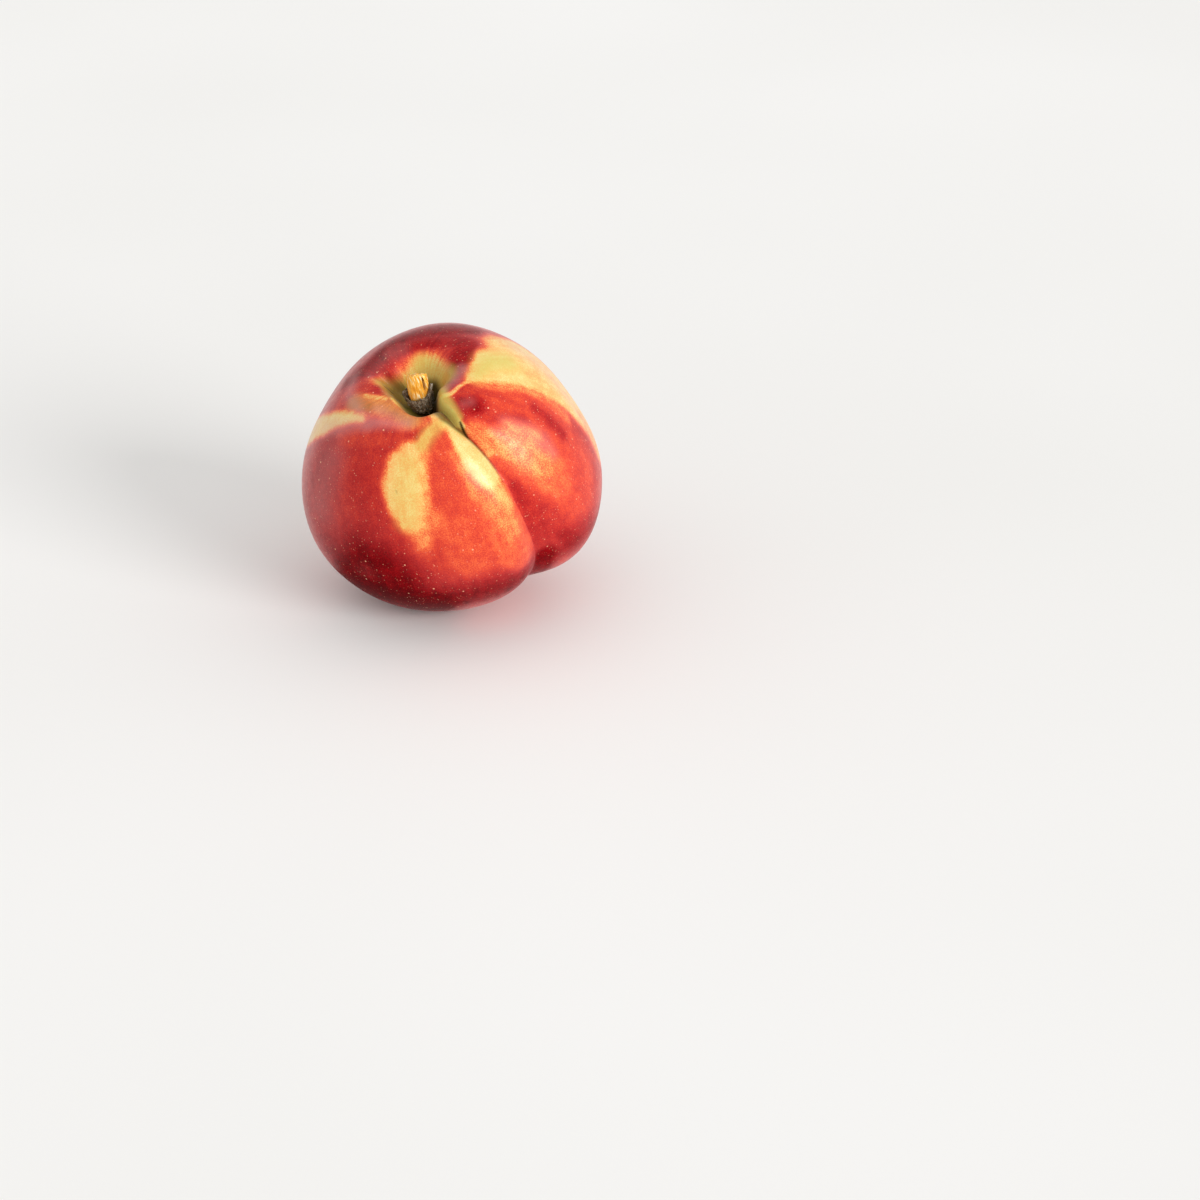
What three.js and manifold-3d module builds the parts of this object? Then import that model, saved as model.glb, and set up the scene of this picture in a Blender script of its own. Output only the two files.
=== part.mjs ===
import * as THREE from 'three';
import { mergeVertices } from 'three/addons/utils/BufferGeometryUtils.js';
import Module from 'manifold-3d';

// A ripe nectarine with the broken end of its stem, lying on a small flat spot.
// Millimetres, +Z up. The origin is the centre of the flat spot.
//
// The fruit is described in its growing frame, whose origin is the middle of the fruit:
// the stem cavity faces +Z, and the suture, the crease between the two lobes, runs down
// the +X side. A direction is an azimuth, counter-clockwise from the suture, and a polar
// angle from the stem. The constants give both in degrees, and the functions take radians.

// ---- how the fruit lies ----
const MIDDLE = [2.3, 1.0, 32.1];
const ROLL = 25.6;
const PITCH = 10.1;
const HEADING = -52.8;

// ---- body of the fruit ----
const RADIUS = 33.4;
const FLATNESS = -0.004; // below zero, the fruit is shorter than it is wide
const HEART = 0.0275; // broad at the stem, narrower at the blossom end
const CHEEKS = 0.026; // how far the two cheeks stand out
const CHEEK_AZIMUTH = 58;
const SWELL_SPREAD = 22;
// azimuth, polar angle and height of each low swelling or hollow
const SWELLINGS = [
  [49, 102, 0.9],
  [72, 83, -1.1],
  [128, 49, 1.0],
  [-154, 56, -1.3],
  [-104, 93, 1.0],
  [-80, 112, 0.5],
  [-12, 128, -0.5],
  [22, 119, 2.4],
];

// ---- suture ----
// polar angle, depth, width of the steep left side, width of the sloping right side
const SUTURE = [
  [0, 1.0, 1.0, 1.0],
  [14, 3.0, 1.3, 0.8],
  [26, 2.8, 1.6, 1.1],
  [38, 2.2, 2.0, 2.2],
  [52, 2.0, 2.5, 4.8],
  [95, 3.0, 3.7, 8.3],
  [140, 2.6, 4.0, 7.3],
  [180, 1.6, 4.0, 4.5],
];
const LEFT_ROUNDNESS = 1.3;
const RIGHT_ROUNDNESS = 1.5;
const SUTURE_FADE = 1.6; // how softly it ends past the stem and past the blossom end
// polar angle, spread along the suture, and degrees it swings to the right there
const BENDS = [
  [29, 8, -2.0],
  [60, 18, 0.8],
  [132, 20, -6.0],
];

// ---- stem cavity and blossom dimple ----
const BOWL_DEPTH = 4.0;
const BOWL_RADIUS = 12.0;
const FUNNEL_DEPTH = 6.6;
const FUNNEL_RADIUS = 7.2;
// azimuth, spread in degrees, and how much further out the lip of the funnel is there
const FUNNEL_LIP = [
  [-161, 11, 2.0],
  [-100, 40, -2.4],
  [-22, 26, 2.0],
  [24, 18, -1.5],
];
const FUNNEL_STEEPNESS = 4.6;
const STEEPER_BY = 2.0; // its lip turns down more sharply on the side at STEEPEST_AZIMUTH
const STEEPEST_AZIMUTH = -60;
const DIMPLE_DEPTH = 1.2;
const DIMPLE_RADIUS = 5.0;

// ---- stem: a cup of bark, and the broken wood that stands in it ----
const STEM_AT = [0.8, 0.0];
const GAP = 0.3; // between pieces that touch
const BARK_FOOT = 22.6;
const BARK_FOOT_RADIUS = 2.5;
const BARK_FOOT_BEVEL = 0.5;
const BARK_RIM = 28.0;
const BARK_RIM_RADIUS = 3.3;
const BARK_RIM_BORE = 3.0;
const SCALE_RINGS = 3;
const SCALES_ROUND = 7;
const SCALE_RELIEF = 0.3;
const SCALE_TURN = 1.3; // radians
// azimuth, height above the rim, lean outwards and half-width of each dried sepal
const SEPALS = [
  [32, 3.4, 1.6, 13],
  [-132, 0.8, 0.4, 13],
  [165, 1.2, 0.4, 18],
];
const SEPAL_INSIDE = 0.6; // how much of a sepal's rise and lean the inside of the cup follows
const WOOD_FOOT = 25.0;
const WOOD_FOOT_RADIUS = 1.9;
const WOOD_RADIUS = 2.35;
const WOOD_TOP = 34.0;
const WOOD_LEAN = [0.15, 0.11]; // sideways for each millimetre above LEAN_FOOT
const LEAN_FOOT = 27.0;
const BREAK_SLOPE = 1.0; // the break is higher on the side that faces BREAK_AZIMUTH
const BREAK_AZIMUTH = -46;
const FIBRES_ROUND = 5;
const FIBRE_RELIEF = 0.13;
const SPLINTERS = 0.15; // how far the splinters stand up, for each millimetre from the middle
// a sliver torn from the side of the peg: how far it bends out, and how much lower it ends
const SLIVER = { azimuth: 28, spread: 28, height: 30.6, length: 2.2, out: 0.5, lower: 2.4 };

// ---- resolution ----
const FRUIT_ROWS = 60;
const FRUIT_COLUMNS = 72;
const FINER_AT_CREASE = 0.6;
const FINER_AT_ENDS = 0.65;
const BARK_STEPS = 9;
const BARK_COLUMNS = 42;
const WOOD_STEPS = 8;
const WOOD_COLUMNS = 36;

const { degToRad, radToDeg, euclideanModulo, lerp, smoothstep } = THREE.MathUtils;
const bump = (distance, spread) => Math.exp(-((distance / spread) ** 2));
// the turn in degrees from one direction to another, from -180 to 180
const turn = (from, to) => euclideanModulo(to - from + 180, 360) - 180;
const polarPoint = (azimuth, out, height) =>
  new THREE.Vector3(out * Math.cos(azimuth), out * Math.sin(azimuth), height);
const direction = (azimuth, polar) => polarPoint(azimuth, Math.sin(polar), Math.cos(polar));

// Values of a table at a polar angle, eased from each of its rows to the next.
function along(table, polar) {
  let row = 0;
  while (row < table.length - 2 && table[row + 1][0] < polar) row += 1;
  const share = smoothstep(polar, table[row][0], table[row + 1][0]);
  return table[row].slice(1).map((value, k) => lerp(value, table[row + 1][k + 1], share));
}

// A closed surface: rows of points round it, with a single point in the first and last row.
function closedGrid(rows, columns, place) {
  const points = [place(0, 0)];
  for (let row = 1; row < rows; row += 1) {
    for (let j = 0; j < columns; j += 1) points.push(place(row, j / columns));
  }
  points.push(place(rows, 0));
  const at = (row, j) => 1 + (row - 1) * columns + (j % columns);
  const faces = [];
  for (let j = 0; j < columns; j += 1) {
    faces.push(0, at(1, j), at(1, j + 1));
    for (let row = 1; row < rows - 1; row += 1) {
      faces.push(at(row, j), at(row + 1, j), at(row + 1, j + 1));
      faces.push(at(row, j), at(row + 1, j + 1), at(row, j + 1));
    }
    faces.push(at(rows - 1, j), points.length - 1, at(rows - 1, j + 1));
  }
  const geometry = new THREE.BufferGeometry().setFromPoints(points);
  return geometry.setIndex(faces);
}

// ---- the fruit ----

// Distance of the plump body from the middle, before the crease and the hollows.
function bodyRadius(azimuth, polar) {
  const c = Math.cos(polar);
  const sides = Math.sin(polar) ** 2 * Math.cos(2 * (azimuth - degToRad(CHEEK_AZIMUTH)));
  const shape = FLATNESS * (1.5 * c * c - 0.5) + HEART * (2.5 * c ** 3 - 1.5 * c) + CHEEKS * sides;
  const here = direction(azimuth, polar);
  let radius = RADIUS * (1 + shape);
  for (const [at, down, height] of SWELLINGS) {
    const away = here.angleTo(direction(degToRad(at), degToRad(down)));
    radius += height * bump(radToDeg(away), SWELL_SPREAD);
  }
  return radius;
}

// Depth of the suture, with the azimuth counted from its own crease line.
function sutureDepth(fromCrease, polar, radius) {
  const [depth, left, right] = along(SUTURE, radToDeg(polar));
  const out = radius * Math.sin(polar);
  const front = 1 / (1 + Math.exp((-out * Math.cos(fromCrease)) / SUTURE_FADE));
  const across = out * Math.sin(fromCrease);
  const side = across < 0 ? (-across / left) ** LEFT_ROUNDNESS : (across / right) ** RIGHT_ROUNDNESS;
  return depth * front * Math.exp(-side);
}

// Depth of the stem cavity: a wide bowl with a funnel in it, steepest on one side.
function hollowDepth(azimuth, out) {
  let radius = FUNNEL_RADIUS;
  for (const [at, spread, further] of FUNNEL_LIP) {
    radius += further * bump(turn(at, radToDeg(azimuth)), spread);
  }
  const steepness = FUNNEL_STEEPNESS + STEEPER_BY * Math.cos(azimuth - degToRad(STEEPEST_AZIMUTH));
  return BOWL_DEPTH * bump(out, BOWL_RADIUS) + FUNNEL_DEPTH * Math.exp(-((out / radius) ** steepness));
}

// Point of the skin, in the growing frame.
function skin(fromCrease, polar) {
  let azimuth = fromCrease;
  for (const [at, spread, swing] of BENDS) azimuth += degToRad(swing * bump(radToDeg(polar) - at, spread));
  const body = bodyRadius(azimuth, polar);
  const point = direction(azimuth, polar).multiplyScalar(body - sutureDepth(fromCrease, polar, body));
  const out = Math.hypot(point.x, point.y);
  point.z += point.z > 0 ? -hollowDepth(azimuth, out) : DIMPLE_DEPTH * bump(out, DIMPLE_RADIUS);
  return point;
}

// The skin's closed surface, with columns packed at the crease and rows at both ends.
function skinGeometry() {
  const packed = (t, amount) => t - (amount * Math.sin(2 * Math.PI * t)) / (2 * Math.PI);
  return closedGrid(FRUIT_ROWS, FRUIT_COLUMNS, (row, around) =>
    skin(2 * Math.PI * packed(around, FINER_AT_CREASE),
      Math.PI * packed(row / FRUIT_ROWS, FINER_AT_ENDS)));
}

// Takes the seat of the stem and everything below the resting surface off the fruit.
function cutFruit(lying) {
  const wider = SCALE_RELIEF + GAP;
  const seat = new THREE.CylinderGeometry(
    BARK_RIM_RADIUS + wider, BARK_FOOT_RADIUS + wider, BARK_RIM - BARK_FOOT, BARK_COLUMNS);
  seat.rotateX(Math.PI / 2);
  seat.translate(...STEM_AT, BARK_RIM / 2 + BARK_FOOT / 2 - GAP);
  const below = new THREE.BoxGeometry(4 * RADIUS, 4 * RADIUS, RADIUS);
  below.translate(0, 0, -RADIUS / 2);
  const fruit = solid(skinGeometry().applyMatrix4(lying.matrixWorld));
  return geometryOf(fruit.subtract(solid(seat.applyMatrix4(lying.matrixWorld))).subtract(solid(below)));
}

// ---- the stem, upright at its own origin ----

// The scales of each ring stand out most at their tips, and are turned from those of the ring below.
function barkRadius(azimuth, up) {
  const ring = up * SCALE_RINGS;
  const scale = Math.abs(Math.sin((azimuth * SCALES_ROUND) / 2 + Math.floor(ring) * SCALE_TURN));
  return lerp(BARK_FOOT_RADIUS, BARK_RIM_RADIUS, up) + SCALE_RELIEF * scale * (ring % 1);
}

// Sum over the dried sepals of one of their values, at an azimuth in degrees.
function sepals(azimuth, value) {
  return SEPALS.reduce((sum, sepal) => sum + sepal[value] * bump(turn(sepal[0], azimuth), sepal[3]), 0);
}

// A cup: from the middle of its inside floor up over the rim, down the outside and under its foot.
function barkGeometry() {
  const floor = WOOD_FOOT - GAP;
  const footBore = WOOD_FOOT_RADIUS + FIBRE_RELIEF + GAP;
  return closedGrid(BARK_STEPS + 5, BARK_COLUMNS, (row, around) => {
    const azimuth = 2 * Math.PI * around;
    const rise = sepals(360 * around, 1);
    const lean = sepals(360 * around, 2);
    const up = 1 - (row - 3) / BARK_STEPS;
    if (row === 0) return polarPoint(azimuth, 0, floor);
    if (row === 1) return polarPoint(azimuth, footBore, floor);
    if (row === 2) {
      return polarPoint(azimuth, BARK_RIM_BORE + SEPAL_INSIDE * lean, BARK_RIM + SEPAL_INSIDE * rise);
    }
    if (up >= 0) {
      const height = lerp(BARK_FOOT + BARK_FOOT_BEVEL, BARK_RIM + rise, up);
      return polarPoint(azimuth, barkRadius(azimuth, up) + lean * up ** 3, height);
    }
    const foot = row === BARK_STEPS + 5 ? 0 : barkRadius(azimuth, 0) - BARK_FOOT_BEVEL;
    return polarPoint(azimuth, foot, BARK_FOOT);
  });
}

// Half-width of the peg: narrow in the cup, with grooves along its fibres, and bulging at the sliver.
function woodRadius(azimuth, height, groove) {
  const body = lerp(WOOD_FOOT_RADIUS, WOOD_RADIUS, smoothstep(height, WOOD_FOOT, BARK_RIM));
  const sliver = bump(turn(SLIVER.azimuth, radToDeg(azimuth)), SLIVER.spread);
  return body + FIBRE_RELIEF * groove + SLIVER.out * sliver * bump(height - SLIVER.height, SLIVER.length);
}

// Height of the slanting, splintered break.
function breakHeight(azimuth, out, groove) {
  const slant = BREAK_SLOPE * Math.cos(azimuth - degToRad(BREAK_AZIMUTH)) + SPLINTERS * groove;
  const sliver = bump(turn(SLIVER.azimuth, radToDeg(azimuth)), SLIVER.spread);
  return WOOD_TOP + out * (slant - (SLIVER.lower / WOOD_RADIUS) * sliver);
}

// A leaning peg: from the middle of its break over the edge, down the side and under its foot.
function woodGeometry() {
  const rows = WOOD_STEPS + 4;
  const leaning = (azimuth, out, height) => {
    const above = Math.max(0, height - LEAN_FOOT);
    return polarPoint(azimuth, out, height).add(new THREE.Vector3(...WOOD_LEAN, 0).multiplyScalar(above));
  };
  return closedGrid(rows, WOOD_COLUMNS, (row, around) => {
    const azimuth = 2 * Math.PI * around;
    const groove = (Math.cos(azimuth * FIBRES_ROUND) + 0.5 * Math.cos(azimuth * 2 * FIBRES_ROUND + 1)) / 1.5;
    const edge = breakHeight(azimuth, WOOD_RADIUS, groove);
    const halfway = (row * WOOD_RADIUS) / 2;
    if (row <= 1) return leaning(azimuth, halfway, breakHeight(azimuth, halfway, groove));
    if (row === rows) return leaning(azimuth, 0, WOOD_FOOT);
    const height = lerp(edge, WOOD_FOOT, (row - 2) / (WOOD_STEPS + 1));
    return leaning(azimuth, woodRadius(azimuth, height, groove), height);
  });
}

// ---- solids and the part ----

const wasm = await Module();
wasm.setup();

function solid(geometry) {
  const bare = new THREE.BufferGeometry();
  bare.setAttribute('position', geometry.getAttribute('position'));
  bare.setIndex(geometry.getIndex());
  const merged = mergeVertices(bare);
  const vertProperties = Float32Array.from(merged.getAttribute('position').array);
  const triVerts = Uint32Array.from(merged.getIndex().array);
  return new wasm.Manifold(new wasm.Mesh({ numProp: 3, vertProperties, triVerts }));
}

function geometryOf(manifold) {
  const { vertProperties, triVerts } = manifold.getMesh();
  const geometry = new THREE.BufferGeometry();
  geometry.setAttribute('position', new THREE.BufferAttribute(vertProperties, 3));
  geometry.setIndex(new THREE.BufferAttribute(triVerts, 1));
  return geometry;
}

function named(name, geometry, color, roughness) {
  const mesh = new THREE.Mesh(geometry, new THREE.MeshStandardMaterial({ color, roughness, metalness: 0 }));
  mesh.name = name;
  return mesh;
}

const lying = new THREE.Group();
lying.position.set(...MIDDLE);
lying.rotation.set(degToRad(ROLL), degToRad(PITCH), degToRad(HEADING), 'ZYX');
lying.updateMatrixWorld();

const stem = new THREE.Group();
stem.position.set(...STEM_AT, 0);
stem.add(named('stem_bark', barkGeometry(), 0x5a5048, 0.85));
stem.add(named('stem_wood', woodGeometry(), 0xe0a040, 0.7));
lying.add(stem);

const nectarine = new THREE.Group();
nectarine.add(named('fruit', cutFruit(lying), 0xc8402a, 0.4));
nectarine.add(lying);

export default nectarine;
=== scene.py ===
"""A ripe nectarine on a pale floor: its skin, the bark cup of its stem and the broken wood in it.

Shapes are in millimetres, in the growing frame of the fruit, whose origin is the middle of the fruit:
the stem cavity faces +Z, and the suture, the crease between the two lobes, runs down the +X side.
An azimuth is counter-clockwise from the suture, and a polar angle is from the stem. The constants
give both in degrees. Functions take radians, unless they say otherwise.
"""
import math

import bpy
import numpy as np
from mathutils import Euler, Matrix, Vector


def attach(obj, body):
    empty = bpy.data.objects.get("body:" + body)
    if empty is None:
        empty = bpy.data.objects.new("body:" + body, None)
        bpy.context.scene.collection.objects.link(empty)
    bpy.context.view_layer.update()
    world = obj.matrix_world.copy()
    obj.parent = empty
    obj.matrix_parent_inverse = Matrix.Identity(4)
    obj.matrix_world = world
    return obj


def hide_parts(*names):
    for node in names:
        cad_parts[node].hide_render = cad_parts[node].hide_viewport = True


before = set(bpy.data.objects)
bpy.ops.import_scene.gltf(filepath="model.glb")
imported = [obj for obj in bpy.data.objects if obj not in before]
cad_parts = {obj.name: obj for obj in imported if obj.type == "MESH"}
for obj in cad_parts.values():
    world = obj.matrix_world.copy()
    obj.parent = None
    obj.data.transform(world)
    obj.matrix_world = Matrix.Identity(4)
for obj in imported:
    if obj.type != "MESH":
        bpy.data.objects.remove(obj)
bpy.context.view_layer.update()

MM = 0.001

# ---- how the fruit lies, and its camera ----
MIDDLE = (2.3, 1.0, 32.1)
ROLL, PITCH, HEADING = 25.6, 10.1, -52.8
# the camera stands this far away and this high, seen from the middle of the fruit
CAMERA_DISTANCE, CAMERA_ELEVATION = 700, 25.43
# how far it looks down, and how far it turns to the left
CAMERA_TILT, CAMERA_TURN = 27.98, -3.2
LENS, SENSOR = 90, 36

# ---- body of the fruit ----
RADIUS = 33.4
# below zero, the fruit is shorter than it is wide
FLATNESS = -0.004
# broad at the stem, narrower at the blossom end
HEART = 0.0275
# how far the two cheeks stand out
CHEEKS = 0.026
CHEEK_AZIMUTH = 58
SWELL_SPREAD = 22
# azimuth, polar angle and height of each low swelling or hollow
SWELLINGS = [
    (49, 102, 0.9),
    (72, 83, -1.1),
    (128, 49, 1.0),
    (-154, 56, -1.3),
    (-104, 93, 1.0),
    (-80, 112, 0.5),
    (-12, 128, -0.5),
    (22, 119, 2.4),
]

# ---- suture ----
# polar angle, depth, width of the steep left side, width of the sloping right side
SUTURE = [
    (0, 1.0, 1.0, 1.0),
    (14, 3.0, 1.3, 0.8),
    (26, 2.8, 1.6, 1.1),
    (38, 2.2, 2.0, 2.2),
    (52, 2.0, 2.5, 4.8),
    (95, 3.0, 3.7, 8.3),
    (140, 2.6, 4.0, 7.3),
    (180, 1.6, 4.0, 4.5),
]
LEFT_ROUNDNESS, RIGHT_ROUNDNESS = 1.3, 1.5
# how softly it ends past the stem and past the blossom end
SUTURE_FADE = 1.6
# polar angle, spread along the suture, and degrees it swings to the right there
BENDS = [(29, 8, -2.0), (60, 18, 0.8), (132, 20, -6.0)]

# ---- stem cavity and blossom dimple ----
BOWL_DEPTH, BOWL_RADIUS = 4.0, 12.0
FUNNEL_DEPTH, FUNNEL_RADIUS = 6.6, 7.2
# azimuth, spread in degrees, and how much further out the lip of the funnel is there
FUNNEL_LIP = [
    (-161, 11, 2.0),
    (-100, 40, -2.4),
    (-22, 26, 2.0),
    (24, 18, -1.5),
]
# its lip turns down more sharply on the side at STEEPEST_AZIMUTH
FUNNEL_STEEPNESS, STEEPER_BY, STEEPEST_AZIMUTH = 4.6, 2.0, -60
DIMPLE_DEPTH, DIMPLE_RADIUS = 1.2, 5.0

SKIN_ROWS, SKIN_COLUMNS = 260, 360
FINER_AT_CREASE, FINER_AT_ENDS = 0.4, 0.4

# ---- stem: a cup of bark, and the broken wood that stands in it ----
# Waves round the stem, in the tables called WAVES: strength in mm, number of waves, how far they turn
# along the stem, and where they start, in radians. On the bark they turn over its height, and on the
# wood with each millimetre.
STEM_AT = (0.8, 0.0)
BARK_FOOT, BARK_FLOOR, BARK_RIM = 22.6, 24.9, 28.0
BARK_FOOT_RADIUS, BARK_RIM_RADIUS = 2.5, 3.3
BARK_FOOT_BORE, BARK_RIM_BORE = 2.1, 2.8
BARK_INSIDE_ROWS, BARK_OUTSIDE_ROWS, BARK_COLUMNS = 10, 80, 180
# how far the outside draws in at the rim, and over what share of its height
RIM_TAPER, TAPER_SPREAD = 0.25, 0.15
# the torn rim has notches that go below BARK_RIM, and teeth that stand over them
NOTCH_DEPTH = 0.2
TEETH_HEIGHT, TEETH_ROUND, TEETH_START = 0.25, 11, 0.7
RIM_WAVES = [(0.12, 27, 0, 0), (0.10, 16, 0, 2)]
# rings of scales, which stand out most at their tips and are turned from those of the ring below
SCALE_RINGS, SCALES_ROUND, SCALE_TURN = 3, 7, 1.3
SCALE_RELIEF, LEAST_SCALE, SCALE_SHARPNESS = 0.3, 0.4, 1.5
# here the strength is a share of a ring's height
RING_WAVES = [(0.25, 3, 0, 1), (0.15, 8, 0, 0)]
FISSURES_ROUND, FISSURE_DEPTH, FISSURE_WIDTH = 18, 0.2, 0.3
# here the strength is in radians, of which there are pi from one fissure to the next
FISSURE_WAVES = [(2, 1, 4, 0)]
GRIT_WAVES = [(0.03, 23, 31, 0), (0.03, 41, -17, 1), (0.03, 13, 57, 2)]
# share of the relief that is left at the rim, and how fast it grows below it
RELIEF_AT_RIM, RELIEF_GROWTH = 0.3, 8
# azimuth, height above the rim, lean outwards and spread in degrees of each dried sepal
SEPALS = [
    (32, 3.4, 1.6, 12),
    (-132, 0.8, 0.4, 13),
    (165, 1.2, 0.4, 18),
    (-20, 0.5, 0.2, 10),
    (100, 0.9, 0.5, 9),
]
# how sharply a sepal curls outwards, and the share of its lean that its inner face follows
SEPAL_CURL, INNER_LEAN = 3, 0.85

WOOD_FOOT, WOOD_TOP = 25.0, 33.85
WOOD_FOOT_RADIUS, WOOD_RADIUS = 1.9, 2.35
# sideways for each millimetre above LEAN_FOOT
WOOD_LEAN, LEAN_FOOT = (0.15, 0.11), 27.0
WOOD_TOP_ROWS, WOOD_SIDE_ROWS, WOOD_COLUMNS = 16, 70, 180
FIBRE_WAVES = [
    (0.0722, 5, 0, 1.571),
    (0.0361, 10, 0, 2.571),
    (0.0289, 31, 0, 1.571),
    (0.0253, 17, 0.6, 3.571),
    (0.0181, 7, 2.2, 0),
]
# the break is higher on the side that faces BREAK_AZIMUTH
BREAK_SLOPE, BREAK_AZIMUTH = 1.0, -46
# share of the half-width where the break ends, and how far its edge is rounded off
BREAK_REACH, EDGE_DROP = 0.97, 0.05
# height of torn fibres, and two waves that cross there: radians for each mm in x and in y, and start
TORN_FIBRES = [
    (0.25, (2.9, 0, 1), (0, 3.7, 2)),
    (0.10, (9, 3, 0), (0, 7, 1)),
]
# splinters at the edge of the break: height, how steeply they rise towards it, and two waves round it
SPLINTER_HEIGHT, SPLINTER_RISE = 0.35, 4
SPLINTER_WAVES = [(6.5, 0), (11, 1)]
# a sliver torn from the side of the peg, and the gash between it and the rest
SLIVER_AZIMUTH, SLIVER_SPREAD, SLIVER_HEIGHT, SLIVER_LENGTH = 28, 28, 30.6, 2.2
SLIVER_OUT, SLIVER_LOWER = 0.5, 2.4
GASH_AZIMUTH, GASH_SPREAD, GASH_DEPTH = 8, 7, 0.9
GASH_FOOT, GASH_EASE = 29.9, 0.3

# ---- markings of the skin, and the shade and sheen painted on it ----
# Streaks run from the stem. Their coordinates are squeezed along them by this factor, so that they
# are long, and they are strongest within this many degrees of the stem.
STREAK_SQUEEZE, STREAKY_WITHIN = 0.15, 26
# Each stroke: side of the suture, value, softness of its edge in mm, and its path as
# (azimuth from the crease, polar angle, half-width in mm). Later strokes lie over earlier ones.
LEFT, BOTH, RIGHT = -1, 0, 1
BASE_BLUSH = 0.68
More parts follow.
